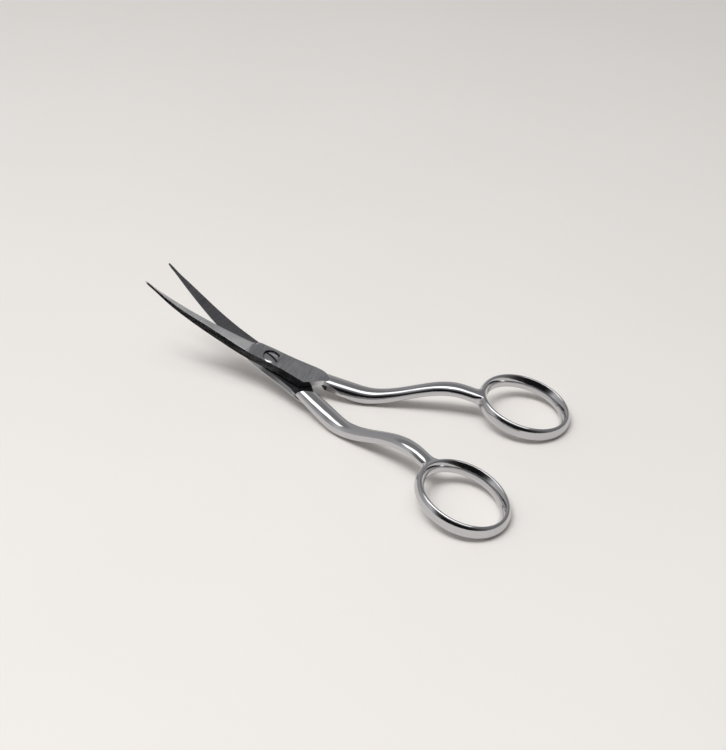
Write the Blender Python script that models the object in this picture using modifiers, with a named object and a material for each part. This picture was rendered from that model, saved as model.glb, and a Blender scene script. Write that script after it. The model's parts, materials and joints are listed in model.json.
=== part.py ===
"""Curved scissors: two forged halves that cross on one slotted screw and open like a pair of levers.

Each half is worked out in the pivot's own frame: X runs back from the pivot towards the rings, Z is
the screw's axis, and Y is mirrored between the halves. The blades curve up towards their tips, so the
faces they slide on are parts of one turned bowl. The handles are cranked up behind the shanks.
Lengths are in metres.
"""

from math import atan2, copysign, cos, pi, radians, sin, sqrt

import bmesh
import bpy
from mathutils import Matrix, Vector

MM = 0.001

# Pose
HALF_OPENING = radians(7.9)        # each half from the closed line, as the scissors lie
CLEARANCE = 0.3 * MM               # between pieces that touch on the real scissors
OVERRUN = 2.0 * MM                 # how far a cutter passes the surface it cuts
MERGE = 0.001 * MM                 # between points that are one point

# Blades
BLADE_REACH = 50.0 * MM            # pivot to tip
BLADE_LIFT = 9.3 * MM              # rise of the tip above the shank's mating face
EDGE_SIDE = 4.65 * MM              # pivot to the shank's edge on its own handle's side
SPINE_SIDE = 4.1 * MM              # pivot to the shank's edge on the other side
PLATE_THICKNESS = 2.2 * MM         # one half at the pivot
SIDE_SLOPE = 0.42                  # of the thickness, by which the sides lean in
NOSE_SHARE = 0.65                  # of the thickness, that leans in before the edge side rounds off
EDGE_LAND = 0.08 * MM              # flat left on the cutting edge
GRIND_START = 6.0 * MM             # pivot to where the blade's ground face begins
GRIND_RUNOUT = 3.0 * MM            # over which it sinks in
BLADE_STATIONS = 30
FACE_POINTS = 6                    # across a mating face
NOSE_POINTS = 4                    # round the plate's edge side, and down the blade's ground face

# rows from the pivot to the tip: along the reach, edge side, spine side, thickness
BLADE_SHARES = (
    (0.00, 1.00, 1.00, 1.00),
    (0.12, 0.93, 0.97, 1.00),
    (0.22, 0.85, 0.89, 1.00),
    (0.36, 0.73, 0.74, 1.00),
    (0.52, 0.57, 0.62, 0.92),
    (0.68, 0.38, 0.52, 0.68),
    (0.80, 0.24, 0.40, 0.50),
    (0.90, 0.13, 0.23, 0.36),
    (0.97, 0.07, 0.14, 0.30),
    (1.00, 0.03, 0.07, 0.24),
)

# Shank plates behind the pivot, which end on a slant
PLATE_BACK = 22.6 * MM             # pivot to the slant's far end, within the handle
PLATE_CORNER = 13.3 * MM           # pivot to the corner where the slant begins
PLATE_STATIONS = 14

# rows from the pivot to the slant: along the plate, edge side, spine side
PLATE_SHARES = (
    (0.00, 1.00, 1.00),
    (0.33, 1.00, 1.05),
    (0.60, 1.06, 1.16),
    (0.72, 1.09, 1.23),
    (0.82, 1.04, 1.28),
    (0.92, 0.83, 1.33),
    (1.00, 0.48, 1.36),
)

# Handles
ROOT_START = 13.0 * MM             # pivot to where the handle's root begins, inside the plate
HANDLE_OFFSET = 2.9 * MM           # centre line to the closed line, at the plate's back
CRANK_START = 31.5 * MM            # pivot to the heel, where the handle starts to rise
CRANK_LENGTH = 34.0 * MM           # from the heel to where the handle is level with its end again
HEEL_DROP = 0.5 * MM              # the heel's centre line below the mating face
HANDLE_WIDTH = 5.2 * MM
HANDLE_HEIGHT = 4.6 * MM
FLAT_REACH = 35.0 * MM             # pivot to where the flat on the root's top fades out
UNDERSIDE_REACH = 29.0 * MM        # the same, below the root
FLAT_SINK = 0.02 * MM              # the root's flats below the plates' outer faces
NEST_GAP = 1.3 * MM                # between a plate's slanted end and the other half's step
STEP_RELIEF = 0.08 * MM            # the step's floor below the mating face
HANDLE_STATIONS = 34
HANDLE_POINTS = 20

# rows from the root to the ring: along the handle, width, height, squareness of the section
HANDLE_SHARES = (
    (0.00, 1.18, 1.23, 2.6),
    (0.06, 1.23, 1.28, 2.5),
    (0.12, 1.27, 1.37, 2.4),
    (0.20, 1.32, 1.47, 2.2),
    (0.30, 1.30, 1.48, 2.1),
    (0.36, 1.22, 1.38, 2.0),
    (0.42, 1.10, 1.22, 2.0),
    (0.60, 0.94, 0.95, 2.0),
    (0.80, 1.03, 0.99, 2.0),
    (0.92, 1.03, 0.98, 2.0),
    (0.97, 1.08, 0.98, 2.1),
    (1.00, 1.20, 0.96, 2.1),
)

# Finger rings
RING_BACK = 85.8 * MM              # pivot to the ring's centre
RING_RISE = 18.0 * MM              # mating face to the ring's centre
RING_LENGTH = 29.3 * MM            # across the middle of the wall, along the handle
RING_BREADTH = 24.2 * MM           # the same, across the handle
RING_WALL = 3.05 * MM
RING_HEIGHT = 5.2 * MM
RING_TILT = radians(3.6)           # far end up, against the mating face
RING_TURN = radians(1.5)           # outwards
RING_STEPS = 56
RING_POINTS = 14
RING_SQUARENESS = 1.9
RING_TAPER = 0.22                  # of the wall's width, by which it is narrower on top and wider below
JOIN_TURN = radians(15.9)          # round the ring's wall, from its front to the handle's end
JOIN_DROP = 0.2 * MM               # the handle's centre line below the middle of the wall there

# Pivot screw
HEAD_RADIUS = 2.8 * MM
HEAD_HEIGHT = 1.2 * MM             # the plate's outer face to the head's underside
HEAD_RISE = 0.2 * MM               # of the crown above the plate
HEAD_SINK = 0.35 * MM              # of the rim below it
SHANK_RADIUS = 1.7 * MM
SCREW_BEVEL = 0.15 * MM
SLOT_WIDTH = 0.8 * MM
SLOT_DEPTH = 0.8 * MM
SLOT_TURN = radians(-5)            # from the closed line of the lower half
SCREW_STEPS = 40

TIP_ANGLE = atan2(BLADE_LIFT, BLADE_REACH)
BOWL_RADIUS = BLADE_REACH / sin(2 * TIP_ANGLE)
PLATE_FACE = CLEARANCE / 2
PLATE_TOP = PLATE_FACE + PLATE_THICKNESS
RING_OUT = (RING_BREADTH + RING_WALL + CLEARANCE) / 2
SHARP_ANGLE = radians(32)


def clear_scene():
    for obj in list(bpy.data.objects):
        bpy.data.objects.remove(obj, do_unlink=True)


def new_collection(name):
    collection = bpy.data.collections.new(name)
    bpy.context.scene.collection.children.link(collection)
    return collection


def new_material(name, colour, roughness):
    material = bpy.data.materials.new(name)
    material.use_nodes = True
    shader = material.node_tree.nodes["Principled BSDF"]
    shader.inputs["Base Color"].default_value = (*colour, 1)
    shader.inputs["Metallic"].default_value = 1
    shader.inputs["Roughness"].default_value = roughness
    return material


def smooth_row(rows, share):
    """The row of a table at a share along it, on a smooth curve through the rows."""
    last = len(rows) - 1
    i = max(k for k in range(last) if k == 0 or rows[k][0] <= share)
    before, start, end, after = rows[max(i - 1, 0)], rows[i], rows[i + 1], rows[min(i + 2, last)]
    span = end[0] - start[0]
    t = (share - start[0]) / span
    values = []
    for a, b, c, d in zip(before[1:], start[1:], end[1:], after[1:]):
        slope_b = (c - a) / (end[0] - before[0]) * span
        slope_c = (d - b) / (after[0] - start[0]) * span
        values.append((2 * t**3 - 3 * t**2 + 1) * b + (t**3 - 2 * t**2 + t) * slope_b
                      + (3 * t**2 - 2 * t**3) * c + (t**3 - t**2) * slope_c)
    return values


def ease(share):
    """0 to 1 along half a cosine wave, level at both ends."""
    return (1 - cos(pi * min(max(share, 0), 1))) / 2


def oval_point(share, width, height, squareness):
    """The point at a share of a turn round an oval: an ellipse at squareness 2, and squarer above it."""
    c, s = cos(2 * pi * share), sin(2 * pi * share)
    return (copysign(width / 2 * abs(c) ** (2 / squareness), c),
            copysign(height / 2 * abs(s) ** (2 / squareness), s))


def bowl(x, y):
    """Height of the face that both blades slide on, a bowl turned about the screw and flat behind it."""
    if x >= 0:
        return 0
    return BOWL_RADIUS - sqrt(BOWL_RADIUS**2 - x * x - y * y)


def loft(name, rings, collection):
    """A closed solid through rings of points, each with as many points, with flat ends."""
    bm = bmesh.new()
    rows = [[bm.verts.new(point) for point in ring] for ring in rings]
    for near, far in zip(rows, rows[1:]):
        for k in range(len(near)):
            n = (k + 1) % len(near)
            bm.faces.new((near[k], near[n], far[n], far[k]))
    bm.faces.new(reversed(rows[0]))
    bm.faces.new(rows[-1])
    bmesh.ops.recalc_face_normals(bm, faces=bm.faces)
    mesh = bpy.data.meshes.new(name)
    bm.to_mesh(mesh)
    bm.free()
    obj = bpy.data.objects.new(name, mesh)
    collection.objects.link(obj)
    return obj


def make_guide(obj, parent):
    obj.hide_render = True
    obj.display_type = "WIRE"
    obj.parent = parent
    return obj


def boolean(obj, other, operation):
    modifier = obj.modifiers.new(f"{operation.lower()} {other.name}", "BOOLEAN")
    modifier.operation = operation
    modifier.solver = "EXACT"
    modifier.object = other


def blade_section(layer, side, spine, edge, thickness, ground):
    """One closed section from the spine-side point to the edge-side point of a half, seen along the blade.

    layer is 1 for the half on top and -1 for the one below. ground runs from 0, a plate with one
    rounded side, to 1, a blade ground down to its cutting edge.
    """
    width = (edge - spine).length
    across = (edge - spine).normalized()
    lean = min(SIDE_SLOPE * thickness / across.y, width / 4)
    nose = lean * NOSE_SHARE * (1 - ground)
    rounding = thickness * (1 - NOSE_SHARE)
    points = [((width - nose) * (1 - k / (FACE_POINTS - 1)), 0) for k in range(FACE_POINTS)]
    points.append((lean, thickness))
    for k in range(NOSE_POINTS):
        turn = pi / 2 * k / (NOSE_POINTS - 1)
        plate = Vector((width - rounding * (1 - sin(turn)), thickness - rounding * (1 - cos(turn))))
        blade = Vector((lean, thickness)).lerp(Vector((width, EDGE_LAND)), (k + 1) / NOSE_POINTS)
        points.append(plate.lerp(blade, ground))
    ring = []
    for along, height in points:
        place = spine + across * along
        z = bowl(place.x, place.y) + layer * (PLATE_FACE + height)
        ring.append((place.x, place.y * side, z))
    return ring


def plate_ends():
    """The slanted end of a shank plate, from its spine-side corner to its edge side."""
    share, edge, spine = PLATE_SHARES[-1]
    corner = Vector((PLATE_CORNER * share, -spine * SPINE_SIDE))
    return (corner, Vector((PLATE_BACK * share, edge * EDGE_SIDE)))


def blade_and_plate(name, layer, side, collection):
    rings = []
    for i in range(BLADE_STATIONS):
        share = sin(pi / 2 * (1 - i / BLADE_STATIONS))
        edge, spine, thickness = smooth_row(BLADE_SHARES, share)
        x = -share * BLADE_REACH
        ground = ease((-x - GRIND_START) / GRIND_RUNOUT)
        back, front = Vector((x, -spine * SPINE_SIDE)), Vector((x, edge * EDGE_SIDE))
        rings.append(blade_section(layer, side, back, front, thickness * PLATE_THICKNESS, ground))
    for i in range(PLATE_STATIONS + 1):
        share = i / PLATE_STATIONS
        edge, spine = smooth_row(PLATE_SHARES, share)
        rings.append(blade_section(layer, side, Vector((PLATE_CORNER * share, -spine * SPINE_SIDE)),
                                   Vector((PLATE_BACK * share, edge * EDGE_SIDE)), PLATE_THICKNESS, 0))
    return loft(name, rings, collection)


def ring_place(side):
    """Where a finger ring lies: its centre, its tilt and its turn outwards."""
    return (Matrix.Translation((RING_BACK, RING_OUT * side, RING_RISE))
            @ Matrix.Rotation(-RING_TILT, 4, "Y") @ Matrix.Rotation(RING_TURN * side, 4, "Z"))


def handle_end():
    """The end of the handle's centre line, on +Y, in the ring's wall."""
    wall = Vector((-RING_LENGTH / 2 * cos(JOIN_TURN), -RING_BREADTH / 2 * sin(JOIN_TURN), 0))
    return ring_place(1) @ wall - Vector((0, 0, JOIN_DROP))


def handle_point(x):
    """The handle's centre line, on +Y, at a distance behind the pivot."""
    end = handle_end()
    y = HANDLE_OFFSET + (end.y - HANDLE_OFFSET) * (x - PLATE_BACK) / (end.x - PLATE_BACK)
    drop = HEEL_DROP * ease((x - PLATE_CORNER) / (CRANK_START - PLATE_CORNER))
    z = (end.z + HEEL_DROP) * ease((x - CRANK_START) / CRANK_LENGTH) - drop
    return Vector((x, y, z))


def flat_level(x, centre, height, face, reach):
    """How far a flat on top of the root, face 1, or below it, face -1, lies from the centre line."""
    level = PLATE_TOP - FLAT_SINK - centre.z * face
    return level + (height / 2 - level) * ease((x - PLATE_BACK) / (reach - PLATE_BACK))


def handle(name, side, parent, guides):
    """The root, the cranked bar and its stop face, from within the plate to the ring's wall."""
    rings = []
    length = handle_end().x - ROOT_START
    step = length / HANDLE_STATIONS
    for i in range(HANDLE_STATIONS + 1):
        share = i / HANDLE_STATIONS
        x = ROOT_START + share * length
        centre = handle_point(x)
        along = (handle_point(x + step) - handle_point(x - step)).normalized()
        out = along.cross(Vector((0, 0, -1))).normalized()
        out = out if out.y > 0 else -out
        up = along.cross(out)
        up = up if up.z > 0 else -up
        width, height, squareness = smooth_row(HANDLE_SHARES, share)
        width, height = width * HANDLE_WIDTH, height * HANDLE_HEIGHT
        top = flat_level(x, centre, height, 1, FLAT_REACH)
        underside = flat_level(x, centre, height, -1, UNDERSIDE_REACH)
        ring = []
        for k in range(HANDLE_POINTS):
            across, rise = oval_point((k + 0.5) / HANDLE_POINTS, width, height, squareness)
            rise = max(min(rise, top), -underside)
            point = centre + out * across + up * rise
            ring.append((point.x, max(point.y, CLEARANCE / 2) * side, point.z))
        rings.append(ring)
    return make_guide(loft(f"{name}_handle", rings, guides), parent)


def step_cutter(name, layer, side, parent, guides):
    """What the other half's plate and its slanted end need clear of this half's root."""
    corner, back = plate_ends()
    along = (back - corner).normalized()
    behind = Vector((along.y, -along.x))
    if behind.x < 0:
        behind = -behind
    near = corner - along * OVERRUN + behind * NEST_GAP
    far = back + along * OVERRUN * 2 + behind * NEST_GAP
    outline = [near, far, far - Vector((PLATE_BACK, 0)), near - Vector((PLATE_BACK, 0))]
    face = layer * (PLATE_FACE + STEP_RELIEF)
    floor = -layer * (PLATE_TOP + OVERRUN)
    rings = [[(p.x, -p.y * side, z) for p in outline] for z in (face, floor)]
    return make_guide(loft(f"{name}_step", rings, guides), parent)


def finger_ring(name, side, parent, guides):
    """An oval loop of oval wire, from a closed curve with its section as the bevel."""
    section = bpy.data.curves.new(f"{name}_section", "CURVE")
    section.dimensions = "2D"
    spline = section.splines.new("POLY")
    spline.points.add(RING_POINTS - 1)
    spline.use_cyclic_u = True
    for k in range(RING_POINTS):
        x, y = oval_point((k + 0.5) / RING_POINTS, RING_WALL, RING_HEIGHT, RING_SQUARENESS)
        spline.points[k].co = (x * (1 - RING_TAPER * y / (RING_HEIGHT / 2)), y, 0, 1)
    section_object = bpy.data.objects.new(f"{name}_section", section)
    guides.objects.link(section_object)
    loop = bpy.data.curves.new(f"{name}_loop", "CURVE")
    loop.dimensions = "3D"
    loop.twist_mode = "Z_UP"
    loop.bevel_mode = "OBJECT"
    loop.bevel_object = section_object
    spline = loop.splines.new("POLY")
    spline.points.add(RING_STEPS - 1)
    spline.use_cyclic_u = True
    for k in range(RING_STEPS):
        x, y = oval_point(k / RING_STEPS, RING_LENGTH, RING_BREADTH, 2)
        spline.points[k].co = (x, y, 0, 1)
    loop_object = bpy.data.objects.new(f"{name}_loop", loop)
    guides.objects.link(loop_object)
    bpy.context.view_layer.update()
    mesh = bpy.data.meshes.new_from_object(loop_object.evaluated_get(bpy.context.evaluated_depsgraph_get()))
    mesh.transform(ring_place(side))
    bm = bmesh.new()
    bm.from_mesh(mesh)
    bmesh.ops.remove_doubles(bm, verts=bm.verts, dist=MERGE)
    bmesh.ops.recalc_face_normals(bm, faces=bm.faces)
    bm.to_mesh(mesh)
    bm.free()
    bpy.data.objects.remove(loop_object)
    bpy.data.objects.remove(section_object)
    ring = bpy.data.objects.new(f"{name}_ring", mesh)
    guides.objects.link(ring)
    return make_guide(ring, parent)


def drill(name, radius, low, high, parent, guides):
    """A round cutter on the screw's axis."""
    bm = bmesh.new()
    bmesh.ops.create_cone(bm, cap_ends=True, segments=SCREW_STEPS, radius1=radius, radius2=radius,
                          depth=high - low, matrix=Matrix.Translation((0, 0, (low + high) / 2)))
    mesh = bpy.data.meshes.new(name)
    bm.to_mesh(mesh)
    bm.free()
    cutter = bpy.data.objects.new(name, mesh)
    guides.objects.link(cutter)
    return make_guide(cutter, parent)


def make_half(name, layer, side, frame, material, parts, guides):
    """One forging: blade, shank plate, handle and finger ring, bored for the screw."""
    half = blade_and_plate(name, layer, side, parts)
    half.parent = frame
    half.rotation_euler.z = HALF_OPENING * side
    bar = handle(name, side, half, guides)
    boolean(bar, step_cutter(name, layer, side, half, guides), "DIFFERENCE")
    boolean(half, bar, "UNION")
    boolean(half, finger_ring(name, side, half, guides), "UNION")
    bore = SHANK_RADIUS + CLEARANCE
    boolean(half, drill(f"{name}_bore", bore, -PLATE_TOP - OVERRUN, PLATE_TOP + OVERRUN, half, guides),
            "DIFFERENCE")
    if layer > 0:
        seat = PLATE_TOP - HEAD_HEIGHT - CLEARANCE
        room = HEAD_RADIUS + CLEARANCE
        boolean(half, drill(f"{name}_seat", room, seat, PLATE_TOP + OVERRUN, half, guides),
                "DIFFERENCE")
    half.data.materials.append(material)
    half.data.shade_smooth()
    half.data.set_sharp_from_angle(angle=SHARP_ANGLE)
    return half


def make_screw(name, frame, material, parts, guides):
    """The slotted pivot screw: its head sits in the upper half, its end is flush below the lower one."""
    profile = [
        (0, PLATE_TOP + HEAD_RISE),
        (HEAD_RADIUS / 2, PLATE_TOP + HEAD_RISE - (HEAD_RISE + HEAD_SINK) / 4),
        (HEAD_RADIUS - SCREW_BEVEL, PLATE_TOP - HEAD_SINK),
        (HEAD_RADIUS, PLATE_TOP - HEAD_SINK - SCREW_BEVEL),
        (HEAD_RADIUS, PLATE_TOP - HEAD_HEIGHT),
        (SHANK_RADIUS, PLATE_TOP - HEAD_HEIGHT),
        (SHANK_RADIUS, SCREW_BEVEL - PLATE_TOP),
        (SHANK_RADIUS - SCREW_BEVEL, -PLATE_TOP),
        (0, -PLATE_TOP),
    ]
    mesh = bpy.data.meshes.new(name)
    mesh.from_pydata([(x, 0, z) for x, z in profile], [(k, k + 1) for k in range(len(profile) - 1)], [])
    screw = bpy.data.objects.new(name, mesh)
    parts.objects.link(screw)
    screw.parent = frame
    screw.rotation_euler.z = -HALF_OPENING
    turn = screw.modifiers.new("turn", "SCREW")
    turn.steps = SCREW_STEPS
    turn.render_steps = SCREW_STEPS
    turn.use_merge_vertices = True
    turn.merge_threshold = MERGE
    bm = bmesh.new()
    bmesh.ops.create_cube(bm, size=1)
    bmesh.ops.scale(bm, verts=bm.verts, vec=((HEAD_RADIUS + OVERRUN) * 2, SLOT_WIDTH, SLOT_DEPTH + OVERRUN))
    middle = PLATE_TOP + HEAD_RISE - SLOT_DEPTH + (SLOT_DEPTH + OVERRUN) / 2
    bmesh.ops.transform(bm, verts=bm.verts,
                        matrix=Matrix.Rotation(SLOT_TURN, 4, "Z") @ Matrix.Translation((0, 0, middle)))
    slot_mesh = bpy.data.meshes.new(f"{name}_slot")
    bm.to_mesh(slot_mesh)
    bm.free()
    slot = bpy.data.objects.new(f"{name}_slot", slot_mesh)
    guides.objects.link(slot)
    boolean(screw, make_guide(slot, screw), "DIFFERENCE")
    screw.data.materials.append(material)
    return screw


def world_triangles(objects):
    """The corners of every triangle of the finished objects, in world space."""
    bpy.context.view_layer.update()
    depsgraph = bpy.context.evaluated_depsgraph_get()
    triangles = []
    for obj in objects:
        evaluated = obj.evaluated_get(depsgraph)
        mesh = evaluated.to_mesh()
        mesh.calc_loop_triangles()
        points = [evaluated.matrix_world @ vertex.co for vertex in mesh.vertices]
        triangles += [tuple(points[i] for i in triangle.vertices) for triangle in mesh.loop_triangles]
        evaluated.to_mesh_clear()
    return triangles


def lower_hull(points):
    """The underside of a set of points in a plane, from left to right."""
    hull = []
    for x, z in sorted(points):
        while len(hull) > 1 and ((hull[-1][0] - hull[-2][0]) * (z - hull[-2][1])
                                 <= (x - hull[-2][0]) * (hull[-1][1] - hull[-2][1])):
            hull.pop()
        hull.append((x, z))
    return hull


def lay_down(frame, objects):
    """Lays the scissors on the ground, on the two points of their side view either side of their weight."""
    triangles = world_triangles(objects)
    volume = moment = 0
    for a, b, c in triangles:
        piece = a.dot(b.cross(c))
        volume += piece
        moment += piece * (a.x + b.x + c.x) / 4
    hull = lower_hull({(p.x, p.z) for triangle in triangles for p in triangle})
    balance = moment / volume
    left, right = next(pair for pair in zip(hull, hull[1:]) if pair[1][0] > balance)
    frame.rotation_euler.y = atan2(right[1] - left[1], right[0] - left[0])
    corners = [p for triangle in world_triangles(objects) for p in triangle]
    low = Vector([min(p[i] for p in corners) for i in range(3)])
    high = Vector([max(p[i] for p in corners) for i in range(3)])
    frame.location = (-(low.x + high.x) / 2, -(low.y + high.y) / 2, -low.z)


def main():
    clear_scene()
    parts = new_collection("curved_scissors")
    guides = new_collection("guides")
    steel = new_material("polished nickel plate", (0.62, 0.62, 0.64), 0.18)
    screw_steel = new_material("turned steel", (0.5, 0.5, 0.52), 0.25)
    frame = bpy.data.objects.new("pivot_frame", None)
    parts.objects.link(frame)
    upper = make_half("upper_half", 1, 1, frame, steel, parts, guides)
    lower = make_half("lower_half", -1, -1, frame, steel, parts, guides)
    screw = make_screw("pivot_screw", frame, screw_steel, parts, guides)
    lay_down(frame, [upper, lower, screw])


main()
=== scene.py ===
"""Curved scissors on a pale table: two forged halves, polished and ground, and one screw."""
import json
from math import atan2, copysign, cos, pi, radians, sin, sqrt

import bmesh
import bpy
from mathutils import Euler, Matrix, Vector


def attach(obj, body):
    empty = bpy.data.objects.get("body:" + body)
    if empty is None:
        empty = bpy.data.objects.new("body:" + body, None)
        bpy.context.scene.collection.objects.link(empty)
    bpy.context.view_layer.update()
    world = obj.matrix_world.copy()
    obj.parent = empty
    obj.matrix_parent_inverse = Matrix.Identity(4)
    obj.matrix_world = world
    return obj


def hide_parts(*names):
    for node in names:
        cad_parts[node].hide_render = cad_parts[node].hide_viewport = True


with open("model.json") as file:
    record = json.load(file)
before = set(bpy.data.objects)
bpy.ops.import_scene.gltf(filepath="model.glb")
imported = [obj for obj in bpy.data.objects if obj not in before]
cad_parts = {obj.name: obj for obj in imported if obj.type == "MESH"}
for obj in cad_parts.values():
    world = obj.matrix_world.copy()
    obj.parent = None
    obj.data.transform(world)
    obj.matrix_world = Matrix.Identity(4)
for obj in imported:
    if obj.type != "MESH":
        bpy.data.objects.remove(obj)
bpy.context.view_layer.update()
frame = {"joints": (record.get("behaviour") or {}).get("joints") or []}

# The camera
# A studio camera on a stand, in front of the rings' side and some 37 degrees above the table. Its
# place is measured from the pivot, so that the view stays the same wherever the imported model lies.
CAMERA_LENS = 58.07                # in millimetres
CAMERA_FROM_PIVOT = Vector((0.18755, -0.28279, 0.24967))
CAMERA_TURN = Euler((radians(52.84), radians(0.38), radians(27.826)))

pivot = frame["joints"][0]
pivot_place = Vector(pivot["pos_m"])
camera_lens = bpy.data.cameras.new("camera")
camera_lens.lens = CAMERA_LENS
camera = bpy.data.objects.new("camera", camera_lens)
bpy.context.scene.collection.objects.link(camera)
camera.matrix_world = (Matrix.Translation(pivot_place + CAMERA_FROM_PIVOT)
                       @ CAMERA_TURN.to_matrix().to_4x4())
bpy.context.scene.camera = camera


# The table
# A board painted matt off-white, wider than the view, that the scissors lie on. The paint is
# rolled, so its tone drifts a little over hand-wide patches and it has no gloss.
MM = 0.001
TABLE_SIZE = 3.0
PAINT_PATCH = 90 * MM


def linear(hex_colour):
    """An sRGB hex colour as linear red, green, blue and alpha."""
    shares = [int(hex_colour[k:k + 2], 16) / 255 for k in (1, 3, 5)]
    return tuple(c / 12.92 if c <= 0.04045 else ((c + 0.055) / 1.055) ** 2.4
                 for c in shares) + (1,)


def new_material(name):
    """A material with one Principled shader, as the material, its node tree and that shader."""
    material = bpy.data.materials.new(name)
    material.use_nodes = True
    return material, material.node_tree, material.node_tree.nodes["Principled BSDF"]


def set_inputs(tree, node, inputs):
    """Sets or links a node's inputs."""
    for name, value in inputs.items():
        if isinstance(value, bpy.types.NodeSocket):
            tree.links.new(value, node.inputs[name])
        else:
            node.inputs[name].default_value = value


def add_node(tree, kind, settings, inputs):
    """Adds a node, with its settings, and sets or links its inputs."""
    node = tree.nodes.new(kind)
    for name, value in settings.items():
        setattr(node, name, value)
    set_inputs(tree, node, inputs)
    return node


# Rolled matt paint: hardly a highlight, and patches that differ by a shade.
table_paint, tree, shader = new_material("rolled matt off-white paint")
place = add_node(tree, "ShaderNodeTexCoord", {}, {})
patches = add_node(tree, "ShaderNodeTexNoise", {}, {
    "Vector": place.outputs["Object"], "Scale": 1 / PAINT_PATCH, "Detail": 2.0, "Roughness": 0.4})
tone = add_node(tree, "ShaderNodeMix", {"data_type": "RGBA"}, {
    "Factor": patches.outputs["Fac"], "A": linear("#E9E5E1"), "B": linear("#EDE9E5")})
set_inputs(tree, shader, {
    "Base Color": tone.outputs["Result"], "Roughness": 0.9, "Specular IOR Level": 0.1})

table_mesh = bpy.data.meshes.new("table")
bm = bmesh.new()
bmesh.ops.create_grid(bm, x_segments=1, y_segments=1, size=TABLE_SIZE / 2)
bm.to_mesh(table_mesh)
bm.free()
table_mesh.materials.append(table_paint)
table = bpy.data.objects.new("table", table_mesh)
bpy.context.scene.collection.objects.link(table)


# The lamp and the room
# One soft box hangs level over the table, a little towards the camera. The room round it is dark
# behind the camera and grey elsewhere, with a lit wall at the left: the polished handles mirror
# these as their bands.
LAMP_HEIGHT = 1.4
LAMP_TURN = radians(10)

# The lit cloth, and the brighter patch in its middle where the bulbs are: the name, the length,
# the depth, the watts and the place over the table.
LAMP_PARTS = (
    ("soft_box", 2.1, 0.7, 8.3, (-0.21, -0.43)),
    ("soft_box_middle", 0.75, 0.4, 12.2, (-0.1, -0.54)),
)
for name, length, depth, watts, (x, y) in LAMP_PARTS:
    light = bpy.data.lights.new(name, "AREA")
    light.shape = "RECTANGLE"
    light.size = length
    light.size_y = depth
    light.energy = watts
    lamp = bpy.data.objects.new(name, light)
    bpy.context.scene.collection.objects.link(lamp)
    lamp.location = (x, y, LAMP_HEIGHT)
    lamp.rotation_euler.z = LAMP_TURN

# The room's walls: the direction in degrees round from +X, and how bright the wall is there.
ROOM_WALLS = (
    (-180, 0.42),
    (-150, 0.48),
    (-130, 0.66),
    (-116, 0.1),
    (-105, 0.01),
    (-60, 0.01),
    (-40, 0.04),
    (-5, 0.22),
    (60, 0.26),
    (90, 0.48),
    (130, 0.4),
    (180, 0.42),
)
ROOM_CEILING = 0.27                # how bright the ceiling is
CEILING_START = 0.55               # sine of the height at which the walls start to turn into it
CEILING_END = 0.75                 # and of the height at which they have

room = bpy.data.worlds.new("room")
room.use_nodes = True
bpy.context.scene.world = room
tree = room.node_tree
direction = add_node(tree, "ShaderNodeTexCoord", {}, {})
around = add_node(tree, "ShaderNodeTexGradient", {"gradient_type": "RADIAL"}, {
    "Vector": direction.outputs["Generated"]})
walls = add_node(tree, "ShaderNodeValToRGB", {}, {"Fac": around.outputs["Fac"]})
ramp = walls.color_ramp
for azimuth, brightness in ROOM_WALLS:
    if azimuth == -180:
        stop = ramp.elements[0]
    elif azimuth == 180:
        stop = ramp.elements[-1]
    else:
        stop = ramp.elements.new(azimuth / 360 + 0.5)
    stop.color = (brightness, brightness, brightness, 1)
upward = add_node(tree, "ShaderNodeSeparateXYZ", {}, {"Vector": direction.outputs["Generated"]})
ceiling = add_node(tree, "ShaderNodeMapRange", {"interpolation_type": "SMOOTHSTEP"}, {
    "Value": upward.outputs["Z"], "From Min": CEILING_START, "From Max": CEILING_END})
room_light = add_node(tree, "ShaderNodeMix", {"data_type": "RGBA"}, {
    "Factor": ceiling.outputs["Result"], "A": walls.outputs["Color"],
    "B": (ROOM_CEILING, ROOM_CEILING, ROOM_CEILING, 1)})
set_inputs(tree, tree.nodes["Background"], {"Color": room_light.outputs["Result"]})


# The two halves
# Each is one steel drop forging, from the blade's tip to the finger ring. The handle and the ring
# are polished and nickel plated. The shank plate and the blade are ground after plating, and the
# blade's mating face is lapped, which leaves them a satin grey.
HALF_OPENING = radians(7.9)        # of each half from the closed line
CLEARANCE = 0.3 * MM               # between faces that slide on each other
OVERRUN = 2.0 * MM                 # by which a cutter stands past what it cuts

# The finishes by their numbers in half_finishes.
POLISHED, GROUND, BLADE_GROUND, LAPPED_AND_SHADE, POCKET_SHADE = range(5)


def smooth_row(rows, share):
    """The row of a table at a share along it, on a smooth curve through the rows."""
    last = len(rows) - 1
    i = max(k for k in range(last) if k == 0 or rows[k][0] <= share)
    before, start, end, after = rows[max(i - 1, 0)], rows[i], rows[i + 1], rows[min(i + 2, last)]
    span = end[0] - start[0]
    t = (share - start[0]) / span
    values = []
    for a, b, c, d in zip(before[1:], start[1:], end[1:], after[1:]):
        slope_b = (c - a) / (end[0] - before[0]) * span
        slope_c = (d - b) / (after[0] - start[0]) * span
        values.append((2 * t**3 - 3 * t**2 + 1) * b + (t**3 - 2 * t**2 + t) * slope_b
                      + (3 * t**2 - 2 * t**3) * c + (t**3 - t**2) * slope_c)
    return values


def ease(share):
    """0 to 1 along half a cosine wave, level at both ends."""
    return (1 - cos(pi * min(max(share, 0), 1))) / 2


def wrap(bm, rows, finishes=None):
    """Faces from each row of points to the next, finished as the far row's list says."""
    for i, (near, far) in enumerate(zip(rows, rows[1:])):
        for k in range(len(near)):
            n = (k + 1) % len(near)
            face = bm.faces.new((near[k], near[n], far[n], far[k]))
            if finishes:
                face.material_index = finishes[i + 1][k]


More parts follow.
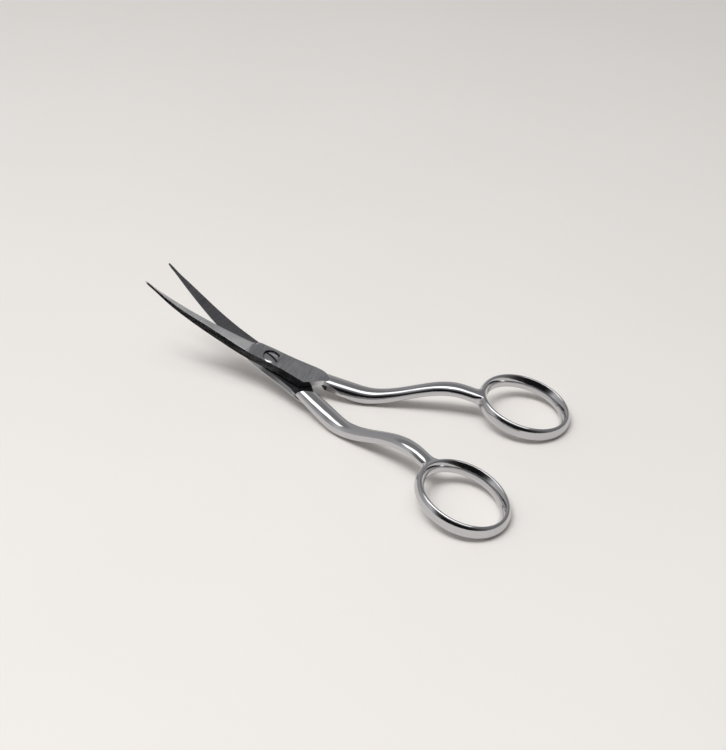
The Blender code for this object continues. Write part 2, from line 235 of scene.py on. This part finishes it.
def mesh_object(name, bm, materials):
    """A new object from a bmesh, which is used up, with its materials."""
    mesh = bpy.data.meshes.new(name)
    bm.to_mesh(mesh)
    bm.free()
    obj = bpy.data.objects.new(name, mesh)
    bpy.context.scene.collection.objects.link(obj)
    for material in materials:
        mesh.materials.append(material)
    return obj


def loft(name, rings, materials, finishes=None):
    """A closed solid through rings of points, with flat ends."""
    bm = bmesh.new()
    rows = [[bm.verts.new(point) for point in ring] for ring in rings]
    wrap(bm, rows, finishes)
    bm.faces.new(list(reversed(rows[0])))
    bm.faces.new(rows[-1])
    bmesh.ops.recalc_face_normals(bm, faces=bm.faces)
    return mesh_object(name, bm, materials)


def settle(obj):
    """Turns an object's modifiers into its mesh."""
    bpy.context.view_layer.update()
    mesh = bpy.data.meshes.new_from_object(
        obj.evaluated_get(bpy.context.evaluated_depsgraph_get()))
    obj.modifiers.clear()
    obj.data = mesh
    return obj


def cut(obj, other, operation):
    """Joins or cuts with another solid, which is used up."""
    modifier = obj.modifiers.new("cut", "BOOLEAN")
    modifier.operation = operation
    modifier.solver = "EXACT"
    modifier.object = other
    settle(obj)
    bpy.data.objects.remove(other)
    return obj


# The blade and the shank plate. Places are measured from the screw's axis, with the blade along
# -X. On the upper half the cutting edge and the handle are on +Y and the spine is on -Y. The lower
# half is its mirror image, so layer, which says which half lies on top, and side, which says where
# its handle is, are 1 for the upper half and -1 for the lower one.
BLADE_REACH = 49.96 * MM           # to the tip
BLADE_LIFT = 9.3 * MM              # of the tip's mating face above the plate's
EDGE_SIDE = 4.65 * MM              # the plate's half width on the edge's side
SPINE_SIDE = 4.1 * MM              # and on the spine's side
PLATE_BACK = 22.6 * MM             # the plate's slanted end, at its edge side
PLATE_CORNER = 13.3 * MM           # and at its spine side
PLATE_THICKNESS = 2.2 * MM
SIDE_SLOPE = 0.42                  # of the thickness, by which the sides lean in
LEAN_LIMIT = 0.25                  # of the width, the most that a side leans in
NOSE_SHARE = 0.65                  # of the plate's thickness, above which its edge side is round
CORNER_BEVEL = 0.04 * MM           # where the spine's side meets the outer face
BEVELS_IN_WIDTH = 20               # it gets smaller where fewer than these would fit the width
BEVELS_IN_THICKNESS = 8            # or the thickness
PLATE_BEVEL = 0.1                  # of that bevel, on the plate
EDGE_LAND = 0.08 * MM              # how thick the cutting edge is left
GRIND_START = 6.0 * MM             # where the plate starts to turn into the ground blade
GRIND_RUNOUT = 3.0 * MM
# Where the blade is narrower than TIP_WIDTH, it gets the darker lapped colour as painted shade.
TIP_WIDTH = 1.25 * MM              # below which the blade is left as lapped
BLADE_STATIONS = 110
PLATE_STATIONS = 44
FACE_POINTS = 14                   # across the mating face
ARC_POINTS = 14                    # round the plate's edge side, or down the blade's grind

# Rows from the pivot to the tip: along the reach, edge side, spine side, thickness.
BLADE_SHARES = (
    (0.00, 1.00, 1.00, 1.00),
    (0.12, 0.93, 0.97, 1.00),
    (0.22, 0.85, 0.89, 1.00),
    (0.36, 0.73, 0.74, 1.00),
    (0.52, 0.57, 0.62, 0.92),
    (0.68, 0.38, 0.52, 0.68),
    (0.80, 0.24, 0.40, 0.50),
    (0.90, 0.13, 0.23, 0.36),
    (0.97, 0.09, 0.16, 0.30),
    (1.00, 0.05, 0.10, 0.24),
)

# Rows from the pivot to the slant: along the plate, edge side, spine side.
PLATE_SHARES = (
    (0.00, 1.00, 1.00),
    (0.33, 1.00, 1.05),
    (0.60, 1.06, 1.16),
    (0.72, 1.09, 1.23),
    (0.82, 1.04, 1.28),
    (0.92, 0.83, 1.33),
    (1.00, 0.48, 1.36),
)

TIP_ANGLE = atan2(BLADE_LIFT, BLADE_REACH)
BOWL_RADIUS = BLADE_REACH / sin(2 * TIP_ANGLE)
PLATE_FACE = CLEARANCE / 2
PLATE_TOP = PLATE_FACE + PLATE_THICKNESS


def bowl(x, y):
    """Height of the face that both blades slide on, a bowl turned about the screw, flat behind."""
    if x >= 0:
        return 0
    return BOWL_RADIUS - sqrt(BOWL_RADIUS**2 - x * x - y * y)


def blade_section(layer, side, spine, edge, thickness, ground):
    """One closed section seen along the blade, and each of its strips' finish.

    ground runs from 0, a plate with one rounded side, to 1, a blade ground down to its cutting
    edge.
    """
    width = (edge - spine).length
    across = (edge - spine).normalized()
    lean = min(SIDE_SLOPE * thickness / across.y, width * LEAN_LIMIT)
    nose = lean * NOSE_SHARE
    rounding = thickness * (1 - NOSE_SHARE)
    bevel = min(CORNER_BEVEL, width / BEVELS_IN_WIDTH, thickness / BEVELS_IN_THICKNESS)
    bevel *= PLATE_BEVEL + (1 - PLATE_BEVEL) * ground
    slant = sqrt(lean * lean + thickness * thickness)
    shoulder = lean + bevel * 2
    points = [((width - nose * (1 - ground)) * (1 - k / (FACE_POINTS - 1)), 0)
              for k in range(FACE_POINTS)]
    points.append((lean * (1 - bevel / slant), thickness * (1 - bevel / slant)))
    points.append((lean + bevel, thickness))
    for k in range(ARC_POINTS):
        share = k / (ARC_POINTS - 1)
        plate_x = width - rounding * (1 - sin(pi / 2 * share))
        plate_z = thickness - rounding * (1 - cos(pi / 2 * share))
        blade_x = shoulder + (width - shoulder) * share
        blade_z = thickness + (EDGE_LAND - thickness) * share
        points.append((plate_x + (blade_x - plate_x) * ground,
                       plate_z + (blade_z - plate_z) * ground))
    # Behind the screw the mating face is painted near black, as painted shade in the pocket under
    # the other half's plate.
    face_finish = LAPPED_AND_SHADE if edge.x < 0 else POCKET_SHADE
    if ground < 0.5:
        top_finish, far_finish = GROUND, POLISHED
    # The thin tip gets the darker lapped colour, as painted shade.
    elif width < TIP_WIDTH:
        top_finish = far_finish = LAPPED_AND_SHADE
    else:
        top_finish = far_finish = BLADE_GROUND
    # The bevel strip between the spine's slope and the top gets the darker lapped colour too, as
    # painted shade that hides its highlight.
    finishes = [face_finish] * (FACE_POINTS - 1) + [POLISHED, LAPPED_AND_SHADE, top_finish]
    finishes += [far_finish] * ARC_POINTS
    ring = []
    for along, height in points:
        place = spine + across * along
        z = bowl(place.x, place.y) + layer * (PLATE_FACE + height)
        ring.append((place.x, place.y * side, z))
    return ring, finishes


def plate_sides(share):
    """The spine side and the edge side of a shank plate, at a share of the way to its end."""
    edge, spine = smooth_row(PLATE_SHARES, share)
    return (Vector((PLATE_CORNER * share, -spine * SPINE_SIDE)),
            Vector((PLATE_BACK * share, edge * EDGE_SIDE)))


def blade_and_plate(name, layer, side):
    """The blade and the shank plate, from the tip to the plate's slanted end."""
    sections = []
    for i in range(BLADE_STATIONS):
        share = sin(pi / 2 * (1 - i / BLADE_STATIONS))
        edge, spine, thickness = smooth_row(BLADE_SHARES, share)
        x = -share * BLADE_REACH
        ground = ease((-x - GRIND_START) / GRIND_RUNOUT)
        sections.append(blade_section(layer, side, Vector((x, -spine * SPINE_SIDE)),
                                      Vector((x, edge * EDGE_SIDE)),
                                      thickness * PLATE_THICKNESS, ground))
    for i in range(PLATE_STATIONS + 1):
        spine, edge = plate_sides(i / PLATE_STATIONS)
        sections.append(blade_section(layer, side, spine, edge, PLATE_THICKNESS, 0))
    rings, finishes = zip(*sections)
    return loft(name, rings, half_finishes, finishes)


# The handle and the finger ring. The handle runs from its root, where it grows out of the plate,
# down to its heel and up its crank to the ring's wall.
ROOT_START = 13.0 * MM
HANDLE_OFFSET = 2.9 * MM           # of the handle's middle from the closed line, at the plate's end
CRANK_START = 31.5 * MM            # where the handle starts to rise from its heel
CRANK_LENGTH = 34.0 * MM
HEEL_DROP = 0.4 * MM               # of the heel's middle below the root's
HANDLE_WIDTH = 5.2 * MM
HANDLE_HEIGHT = 4.6 * MM
HANDLE_STATIONS = 36

# Rows from the root to the ring: along the handle, width, height, squareness of the section.
HANDLE_SHARES = (
    (0.00, 1.18, 1.07, 1.9),
    (0.06, 1.22, 1.08, 1.9),
    (0.12, 1.26, 1.12, 1.9),
    (0.20, 1.30, 1.21, 1.9),
    (0.30, 1.29, 1.33, 1.95),
    (0.36, 1.22, 1.33, 2.0),
    (0.42, 1.10, 1.20, 2.0),
    (0.60, 0.94, 0.95, 2.0),
    (0.80, 1.03, 0.99, 2.0),
    (0.92, 1.03, 0.98, 2.0),
    (1.00, 1.00, 0.98, 2.0),
)

RING_BACK = 85.77 * MM             # the ring's middle behind the screw
RING_RISE = 18.0 * MM              # and above it
RING_LENGTH = 29.3 * MM            # both measured along the middle of the wall
RING_BREADTH = 24.2 * MM
RING_WALL = 3.05 * MM
RING_HEIGHT = 5.13 * MM
RING_TILT = radians(3.6)           # by which its far end is raised
RING_TURN = radians(1.5)           # and turned outwards
RING_STEPS = 80
RING_POINTS = 16
RING_SQUARENESS = 1.9
RING_OUTER_LEAN = 0.12             # of the wall's half width, by which its outer side leans in
RING_INNER_LEAN = 0.52             # and its inner side leans back, so that a finger slips in
JOIN_TURN = radians(15.9)          # how far round the ring the handle meets it
JOIN_DROP = 0.2 * MM               # of the handle's end below the middle of the wall
JOIN_GAP = 0.8 * MM                # from the handle's last section to the wall, for the fillet
JOIN_COLUMNS = 2                   # faces of the ring's cage each way from the middle of the join
JOIN_ROWS = 3
HANDLE_POINTS = 4 * (JOIN_COLUMNS + JOIN_ROWS)
SKIN_LEVELS = 2                    # of subdivision
RING_OUT = (RING_BREADTH + RING_WALL + CLEARANCE) / 2


def ring_place():
    """Where the finger ring on +Y lies: its centre, its tilt and its turn outwards."""
    return (Matrix.Translation((RING_BACK, RING_OUT, RING_RISE))
            @ Matrix.Rotation(-RING_TILT, 4, "Y") @ Matrix.Rotation(RING_TURN, 4, "Z"))


def handle_end():
    """The end of the handle's centre line, on +Y, in the ring's wall."""
    wall = Vector((-RING_LENGTH / 2 * cos(JOIN_TURN), -RING_BREADTH / 2 * sin(JOIN_TURN), 0))
    return ring_place() @ wall - Vector((0, 0, JOIN_DROP))


def handle_point(x):
    """The handle's centre line, on +Y, at a distance behind the pivot."""
    end = handle_end()
    y = HANDLE_OFFSET + (end.y - HANDLE_OFFSET) * (x - PLATE_BACK) / (end.x - PLATE_BACK)
    drop = HEEL_DROP * ease((x - PLATE_CORNER) / (CRANK_START - PLATE_CORNER))
    z = (end.z + HEEL_DROP) * ease((x - CRANK_START) / CRANK_LENGTH) - drop
    return Vector((x, y, z))


def handle_frame(x):
    """The handle's centre there, and the directions outwards and up across it."""
    along = (handle_point(x + MM) - handle_point(x - MM)).normalized()
    out = along.cross(Vector((0, 0, -1))).normalized()
    out = out if out.y > 0 else -out
    up = along.cross(out)
    return handle_point(x), out, up if up.z > 0 else -up


def handle_size(x):
    """Width, height and squareness of the handle's section there."""
    share = (x - ROOT_START) / (handle_end().x - ROOT_START)
    width, height, squareness = smooth_row(HANDLE_SHARES, share)
    return width * HANDLE_WIDTH, height * HANDLE_HEIGHT, squareness


def oval_point(share, width, height, squareness):
    """The point at a share of a turn round an oval, an ellipse at squareness 2."""
    c, s = cos(2 * pi * share), sin(2 * pi * share)
    return (copysign(width / 2 * abs(c) ** (2 / squareness), c),
            copysign(height / 2 * abs(s) ** (2 / squareness), s))


def cage_swell(points):
    """How much wider a cage of so many points is made, because subdivision draws it in."""
    return 3 / (2 + cos(2 * pi / points))


def ring_cage(bm, side):
    """Adds the finger ring's cage, open where the handle joins it, and gives its rows of points."""
    place = ring_place()
    swell = cage_swell(RING_POINTS)
    rows = []
    for i in range(RING_STEPS):
        turn = pi + JOIN_TURN + (i - JOIN_COLUMNS) * 2 * pi / RING_STEPS
        centre = Vector((RING_LENGTH / 2 * cos(turn), RING_BREADTH / 2 * sin(turn), 0))
        out = Vector((RING_BREADTH * cos(turn), RING_LENGTH * sin(turn), 0)).normalized()
        row = []
        for k in range(RING_POINTS):
            across, rise = oval_point(k / RING_POINTS, RING_WALL, RING_HEIGHT, RING_SQUARENESS)
            lean = RING_OUTER_LEAN if across > 0 else RING_INNER_LEAN
            across *= 1 - lean * rise / (RING_HEIGHT / 2)
            point = place @ (centre + out * across * swell + Vector((0, 0, rise * swell)))
            row.append(bm.verts.new((point.x, point.y * side, point.z)))
        rows.append(row)
    for i, near in enumerate(rows):
        far = rows[(i + 1) % RING_STEPS]
        for k in range(RING_POINTS):
            if i < 2 * JOIN_COLUMNS and (k + JOIN_ROWS) % RING_POINTS < 2 * JOIN_ROWS:
                continue
            m = (k + 1) % RING_POINTS
            bm.faces.new((near[k], near[m], far[m], far[k]))
    return rows


def join_rim(ring_rows):
    """The points round the opening in the ring's cage, in the order of those round the handle."""
    columns, rows = JOIN_COLUMNS, JOIN_ROWS
    rim = [(-columns, r) for r in range(rows)]
    rim += [(c, rows) for c in range(-columns, columns)]
    rim += [(columns, r) for r in range(rows, -rows, -1)]
    rim += [(c, -rows) for c in range(columns, -columns, -1)]
    rim += [(-columns, r) for r in range(-rows, 0)]
    return [ring_rows[columns + c][r % RING_POINTS] for c, r in rim]


def handle_rows(bm, side):
    """Adds the points of the handle's sections, from the root to just short of the ring."""
    length = handle_end().x - ROOT_START - RING_WALL / 2 - JOIN_GAP
    swell = cage_swell(HANDLE_POINTS)
    rows = []
    for i in range(HANDLE_STATIONS + 1):
        x = ROOT_START + length * i / HANDLE_STATIONS
        centre, out, up = handle_frame(x)
        width, height, squareness = handle_size(x)
        row = []
        for k in range(HANDLE_POINTS):
            across, rise = oval_point(k / HANDLE_POINTS, width * swell, height * swell, squareness)
            point = centre + out * across + up * rise
            row.append(bm.verts.new((point.x, point.y * side, point.z)))
        rows.append(row)
    return rows


def handle_and_ring(side):
    """The root, the cranked bar and the ring as one smooth skin, the join filleted as forged."""
    bm = bmesh.new()
    ring_rows = ring_cage(bm, side)
    rows = handle_rows(bm, side)
    wrap(bm, rows + [join_rim(ring_rows)])
    bm.faces.new(rows[0])
    bmesh.ops.recalc_face_normals(bm, faces=bm.faces)
    skin = mesh_object("handle_and_ring", bm, half_finishes)
    fine = skin.modifiers.new("fine", "SUBSURF")
    fine.levels = SKIN_LEVELS
    fine.render_levels = SKIN_LEVELS
    return settle(skin)


# What is ground and drilled away: flats on the root, level with the plates, and its flat inner
# side, the step that the other half's plate turns in, and the screw's bores.
FLAT_REACH = 35.0 * MM             # how far back the flat on top fades out
UNDERSIDE_REACH = 29.0 * MM        # and the one below
FLAT_SINK = 0.02 * MM              # of the flats below the plates' outer faces
FLAT_STEPS = 24
NEST_GAP = 1.3 * MM                # between the plate's slanted end and the step
STEP_RELIEF = 0.08 * MM            # by which the step lies back from the mating face
CRANK_ROOM = 3                     # handle heights that the inner side is cut up to, to clear it
SHANK_RADIUS = 1.7 * MM
HEAD_RADIUS = 2.8 * MM
HEAD_HEIGHT = 1.2 * MM
ROUND_STEPS = 96


def flat_cutter(side, face, reach):
    """What is ground off the root, on top for face 1 or below for -1, fading out along it."""
    rings = []
    start = ROOT_START - OVERRUN
    for i in range(FLAT_STEPS + 1):
        x = start + (reach - start) * i / FLAT_STEPS
        centre, out, up = handle_frame(x)
        height = handle_size(max(x, ROOT_START))[1]
        fade = ease((x - PLATE_BACK) / (reach - PLATE_BACK))
        level = PLATE_TOP - FLAT_SINK - centre.z * face
        foot = centre + up * face * (level + (height / 2 - level) * fade)
        corners = [foot - out * HANDLE_WIDTH, foot + out * HANDLE_WIDTH]
        corners += [corner + up * face * HANDLE_WIDTH for corner in reversed(corners)]
        rings.append([(p.x, p.y * side, p.z) for p in corners])
    return loft("flat", rings, half_finishes)


def inner_cutter(side):
    """What lies past the closed line, where the two roots' flat inner sides meet."""
    near, far = ROOT_START - OVERRUN, RING_BACK - RING_LENGTH
    outline = [(near, CLEARANCE / 2), (far, CLEARANCE / 2), (far, -HANDLE_WIDTH),
               (near, -HANDLE_WIDTH)]
    rings = [[(x, y * side, z) for x, y in outline]
             for z in (-HANDLE_HEIGHT, HANDLE_HEIGHT * CRANK_ROOM)]
    return loft("inner", rings, half_finishes)


def step_cutter(layer, side):
    """What the other half's plate and its slanted end need clear of this half's root."""
    corner, back = plate_sides(1)
    along = (back - corner).normalized()
    behind = Vector((along.y, -along.x))
    if behind.x < 0:
        behind = -behind
    near = corner - along * OVERRUN + behind * NEST_GAP
    far = back + along * OVERRUN * 2 + behind * NEST_GAP
    outline = [near, far, far - Vector((PLATE_BACK, 0)), near - Vector((PLATE_BACK, 0))]
    face = layer * (PLATE_FACE + STEP_RELIEF)
    floor = -layer * (PLATE_TOP + OVERRUN * 2)
    rings = [[(p.x, -p.y * side, z) for p in outline] for z in (face, floor)]
    return loft("step", rings, half_finishes)


def circle(radius, z):
    """Points round the screw's axis."""
    turns = [2 * pi * k / ROUND_STEPS for k in range(ROUND_STEPS)]
    return [(radius * cos(turn), radius * sin(turn), z) for turn in turns]


def drill(radius, low, high):
    """A round cutter on the screw's axis."""
    return loft("drill", [circle(radius, low), circle(radius, high)], half_finishes)


def finish_all(obj, finish):
    """Gives a cutter one finish, which it leaves on the faces that it cuts."""
    for polygon in obj.data.polygons:
        polygon.material_index = finish
    return obj


# Nickel plate over polished steel: a mirror, with polishing lines along the bar too fine to see
# here, so they are drawn 0.5 mm wide and very faint. The bar was polished by hand, so it waves a
# little every 7 mm.
POLISH_LINE = 0.5 * MM
LINE_SLIMNESS = 0.05               # a line's width as a share of its length
POLISH_WAVE = 7 * MM
polished_nickel, tree, shader = new_material("polished nickel plate")
place = add_node(tree, "ShaderNodeAttribute", {"attribute_name": "own_place"}, {})
along_bar = add_node(tree, "ShaderNodeMapping", {}, {
    "Vector": place.outputs["Vector"],
    "Scale": (LINE_SLIMNESS / POLISH_LINE, 1 / POLISH_LINE, 1 / POLISH_LINE)})
lines = add_node(tree, "ShaderNodeTexNoise", {}, {
    "Vector": along_bar.outputs["Vector"], "Scale": 1.0, "Detail": 3.0})
waves = add_node(tree, "ShaderNodeTexNoise", {}, {
    "Vector": place.outputs["Vector"], "Scale": 1 / POLISH_WAVE, "Detail": 1.0})
gloss = add_node(tree, "ShaderNodeMapRange", {}, {
    "Value": lines.outputs["Fac"], "From Min": 0.3, "From Max": 0.7, "To Min": 0.06,
    "To Max": 0.13})
tone = add_node(tree, "ShaderNodeMix", {"data_type": "RGBA"}, {
    "Factor": waves.outputs["Fac"], "A": linear("#C2C2C6"), "B": linear("#CBCACB")})
wave_bump = add_node(tree, "ShaderNodeBump", {}, {
    "Height": waves.outputs["Fac"], "Strength": 0.3, "Distance": 0.15 * MM})
line_bump = add_node(tree, "ShaderNodeBump", {}, {
    "Height": lines.outputs["Fac"], "Normal": wave_bump.outputs["Normal"], "Strength": 0.15,
    "Distance": 0.01 * MM})
set_inputs(tree, shader, {
    "Base Color": tone.outputs["Result"], "Metallic": 1.0, "Roughness": gloss.outputs["Result"],
    "Normal": line_bump.outputs["Normal"]})

# Steel ground on a fine wheel: satin grey, with the wheel's marks across the blade. Real marks are
# 0.05 mm apart, so they are drawn 0.4 mm apart, and a brushed tone drifts over 5 mm. The blades
# are finished on a finer wheel and come out brighter, and their mating faces are lapped, which
# leaves them duller and darker. The same darker lapped colour is also put on the blades' thin
# tips and on the bevel along the spine's top, as painted shade. The plates' mating faces behind the
# screw and the steps that their ends meet are painted near black, as painted shade in the pocket
# under the other half's plate.
WHEEL_MARK = 0.4 * MM
MARK_SLIMNESS = 0.06               # a mark's width as a share of its length
MARK_TURN = radians(12)
MARK_SHARE = 0.6                   # how strongly the marks show beside the drift
WHEEL_DRIFT = 5 * MM
WHEEL_FINISHES = (
    ("fine-ground satin steel", "#9A9A9E", "#C0C0C3"),
    ("bright-ground steel", "#C6C6C9", "#E2E2E3"),
    ("lapped steel and painted shade", "#707074", "#88888C"),
    ("near-black steel as painted shade", "#2C2C2F", "#434346"),
)
half_finishes = [polished_nickel]
for name, dark, light in WHEEL_FINISHES:
    material, tree, shader = new_material(name)
    place = add_node(tree, "ShaderNodeAttribute", {"attribute_name": "own_place"}, {})
    across_blade = add_node(tree, "ShaderNodeMapping", {}, {
        "Vector": place.outputs["Vector"], "Rotation": (0, 0, MARK_TURN),
        "Scale": (1 / WHEEL_MARK, MARK_SLIMNESS / WHEEL_MARK, MARK_SLIMNESS / WHEEL_MARK)})
    marks = add_node(tree, "ShaderNodeTexNoise", {}, {
        "Vector": across_blade.outputs["Vector"], "Scale": 1.0, "Detail": 4.0,
        "Roughness": 0.6})
    drift = add_node(tree, "ShaderNodeTexNoise", {}, {
        "Vector": place.outputs["Vector"], "Scale": 1 / WHEEL_DRIFT, "Detail": 2.0})
    shade = add_node(tree, "ShaderNodeMath", {"operation": "MULTIPLY_ADD"}, {
        0: marks.outputs["Fac"], 1: MARK_SHARE, 2: drift.outputs["Fac"]})
    tone = add_node(tree, "ShaderNodeMapRange", {}, {
        "Value": shade.outputs["Value"], "From Min": 0.5, "From Max": 1.1})
    colour = add_node(tree, "ShaderNodeMix", {"data_type": "RGBA"}, {
        "Factor": tone.outputs["Result"], "A": linear(dark), "B": linear(light)})
    satin = add_node(tree, "ShaderNodeMapRange", {}, {
        "Value": marks.outputs["Fac"], "From Min": 0.3, "From Max": 0.7, "To Min": 0.24,
        "To Max": 0.36})
    mark_bump = add_node(tree, "ShaderNodeBump", {}, {
        "Height": marks.outputs["Fac"], "Strength": 0.4, "Distance": 0.02 * MM})
    set_inputs(tree, shader, {
        "Base Color": colour.outputs["Result"], "Metallic": 1.0,
        "Roughness": satin.outputs["Result"], "Normal": mark_bump.outputs["Normal"]})
    half_finishes.append(material)

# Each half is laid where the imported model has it, leaning with the screw's axis.
SHARP_ANGLE = radians(24)          # above which an edge between two faces shows
screw_axis = Vector(pivot["axis"]).normalized()


def lay_in_place(obj, turn, body, node):
    """Keeps a piece's own coordinates for its grain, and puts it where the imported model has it."""
    grain = obj.data.attributes.new("own_place", "FLOAT_VECTOR", "POINT")
    grain.data.foreach_set("vector", [c for vertex in obj.data.vertices for c in vertex.co])
    tilt = atan2(screw_axis.x, screw_axis.z)
    obj.data.transform(Matrix.Translation(pivot_place) @ Matrix.Rotation(tilt, 4, "Y")
                       @ Matrix.Rotation(turn, 4, "Z"))
    obj.data.shade_smooth()
    obj.data.set_sharp_from_angle(angle=SHARP_ANGLE)
    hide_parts(node)
    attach(obj, body)


for name, layer, side, body in (("upper_half", 1, 1, "upper"), ("lower_half", -1, -1, "lower")):
    half = blade_and_plate(f"{name}_forging", layer, side)
    bar = handle_and_ring(side)
    cut(bar, inner_cutter(side), "DIFFERENCE")
    cut(bar, flat_cutter(side, 1, FLAT_REACH), "DIFFERENCE")
    cut(bar, flat_cutter(side, -1, UNDERSIDE_REACH), "DIFFERENCE")
    # The step's faces are painted near black, as painted shade under the other half's plate.
    cut(bar, finish_all(step_cutter(layer, side), POCKET_SHADE), "DIFFERENCE")
    cut(half, bar, "UNION")
    end = PLATE_TOP + OVERRUN
    cut(half, drill(SHANK_RADIUS + CLEARANCE, -end, end), "DIFFERENCE")
    if layer > 0:
        counterbore = drill(HEAD_RADIUS + CLEARANCE, PLATE_TOP - HEAD_HEIGHT - CLEARANCE, end)
        cut(half, counterbore, "DIFFERENCE")
    lay_in_place(half, HALF_OPENING * side, body, name)


# The pivot screw
# Turned from steel bar, with a low crown, a bevelled rim and a sawn slot. It is threaded into the
# lower half, and its head runs in a counterbore in the upper one.
HEAD_RISE = 0.2 * MM               # of the crown above the plate
HEAD_SINK = 0.45 * MM              # of the rim below it
SCREW_BEVEL = 0.15 * MM
CROWN_POINTS = 10
SLOT_WIDTH = 0.8 * MM
SLOT_DEPTH = 0.8 * MM
SLOT_TURN = radians(-5)

# Turned steel: darker than the plate, with the tool's rings on the crown. They are 0.1 mm apart on
# the real one and drawn 0.3 mm apart.
TOOL_RING = 0.3 * MM
WAVE_UNIT = pi / 10                # how far apart a wave texture's rings are at scale 1
turned_steel, tree, shader = new_material("turned bright steel")
place = add_node(tree, "ShaderNodeAttribute", {"attribute_name": "own_place"}, {})
rings = add_node(tree, "ShaderNodeTexWave", {"wave_type": "RINGS", "rings_direction": "Z"}, {
    "Vector": place.outputs["Vector"], "Scale": WAVE_UNIT / TOOL_RING, "Distortion": 0.6,
    "Detail": 1.0})
gloss = add_node(tree, "ShaderNodeMapRange", {}, {
    "Value": rings.outputs["Fac"], "To Min": 0.12, "To Max": 0.2})
colour = add_node(tree, "ShaderNodeMix", {"data_type": "RGBA"}, {
    "Factor": rings.outputs["Fac"], "A": linear("#B4B4B8"), "B": linear("#C4C4C8")})
ring_bump = add_node(tree, "ShaderNodeBump", {}, {
    "Height": rings.outputs["Fac"], "Strength": 0.2, "Distance": 0.01 * MM})
set_inputs(tree, shader, {
    "Base Color": colour.outputs["Result"], "Metallic": 1.0, "Roughness": gloss.outputs["Result"],
    "Normal": ring_bump.outputs["Normal"]})

# Sawn steel: the slot is left as the saw leaves it, dull, and its colour is darkened as painted
# shade in the slot. The teeth's marks are 0.05 mm wide on the real one and drawn 0.2 mm wide.
SAW_MARK = 0.2 * MM
sawn_shaded_steel, tree, shader = new_material("sawn steel darkened as painted shade")
place = add_node(tree, "ShaderNodeAttribute", {"attribute_name": "own_place"}, {})
teeth = add_node(tree, "ShaderNodeTexNoise", {}, {
    "Vector": place.outputs["Vector"], "Scale": 1 / SAW_MARK})
colour = add_node(tree, "ShaderNodeMix", {"data_type": "RGBA"}, {
    "Factor": teeth.outputs["Fac"], "A": linear("#3A3A3E"), "B": linear("#5A5A5E")})
set_inputs(tree, shader, {
    "Base Color": colour.outputs["Result"], "Metallic": 1.0, "Roughness": 0.45})

screw_finishes = (turned_steel, sawn_shaded_steel)
SAWN_SHADED = 1                           # its number among them

# The screw's outline from the middle of its crown down to its end: radius and height.
profile = []
crown = HEAD_RADIUS - SCREW_BEVEL
for k in range(1, CROWN_POINTS + 1):
    share = k / CROWN_POINTS
    profile.append((crown * share,
                    PLATE_TOP + HEAD_RISE - (HEAD_RISE + HEAD_SINK) * share * share))
profile += [
    (HEAD_RADIUS, PLATE_TOP - HEAD_SINK - SCREW_BEVEL),
    (HEAD_RADIUS, PLATE_TOP - HEAD_HEIGHT),
    (SHANK_RADIUS, PLATE_TOP - HEAD_HEIGHT),
    (SHANK_RADIUS, SCREW_BEVEL - PLATE_TOP),
    (SHANK_RADIUS - SCREW_BEVEL, -PLATE_TOP),
]
screw = loft("pivot_screw_turned", [circle(radius, z) for radius, z in profile], screw_finishes)

reach, half_width = HEAD_RADIUS + OVERRUN, SLOT_WIDTH / 2
corners = [(reach, half_width), (-reach, half_width), (-reach, -half_width), (reach, -half_width)]
turned = [(x * cos(SLOT_TURN) - y * sin(SLOT_TURN), x * sin(SLOT_TURN) + y * cos(SLOT_TURN))
          for x, y in corners]
floor, top = PLATE_TOP + HEAD_RISE - SLOT_DEPTH, PLATE_TOP + OVERRUN
slot = loft("slot", [[(x, y, z) for x, y in turned] for z in (floor, top)], screw_finishes)
# The slot's faces get the sawn colour, darkened as painted shade.
cut(screw, finish_all(slot, SAWN_SHADED), "DIFFERENCE")
lay_in_place(screw, -HALF_OPENING, "lower", "pivot_screw")

bpy.context.scene.view_settings.view_transform = "Standard"
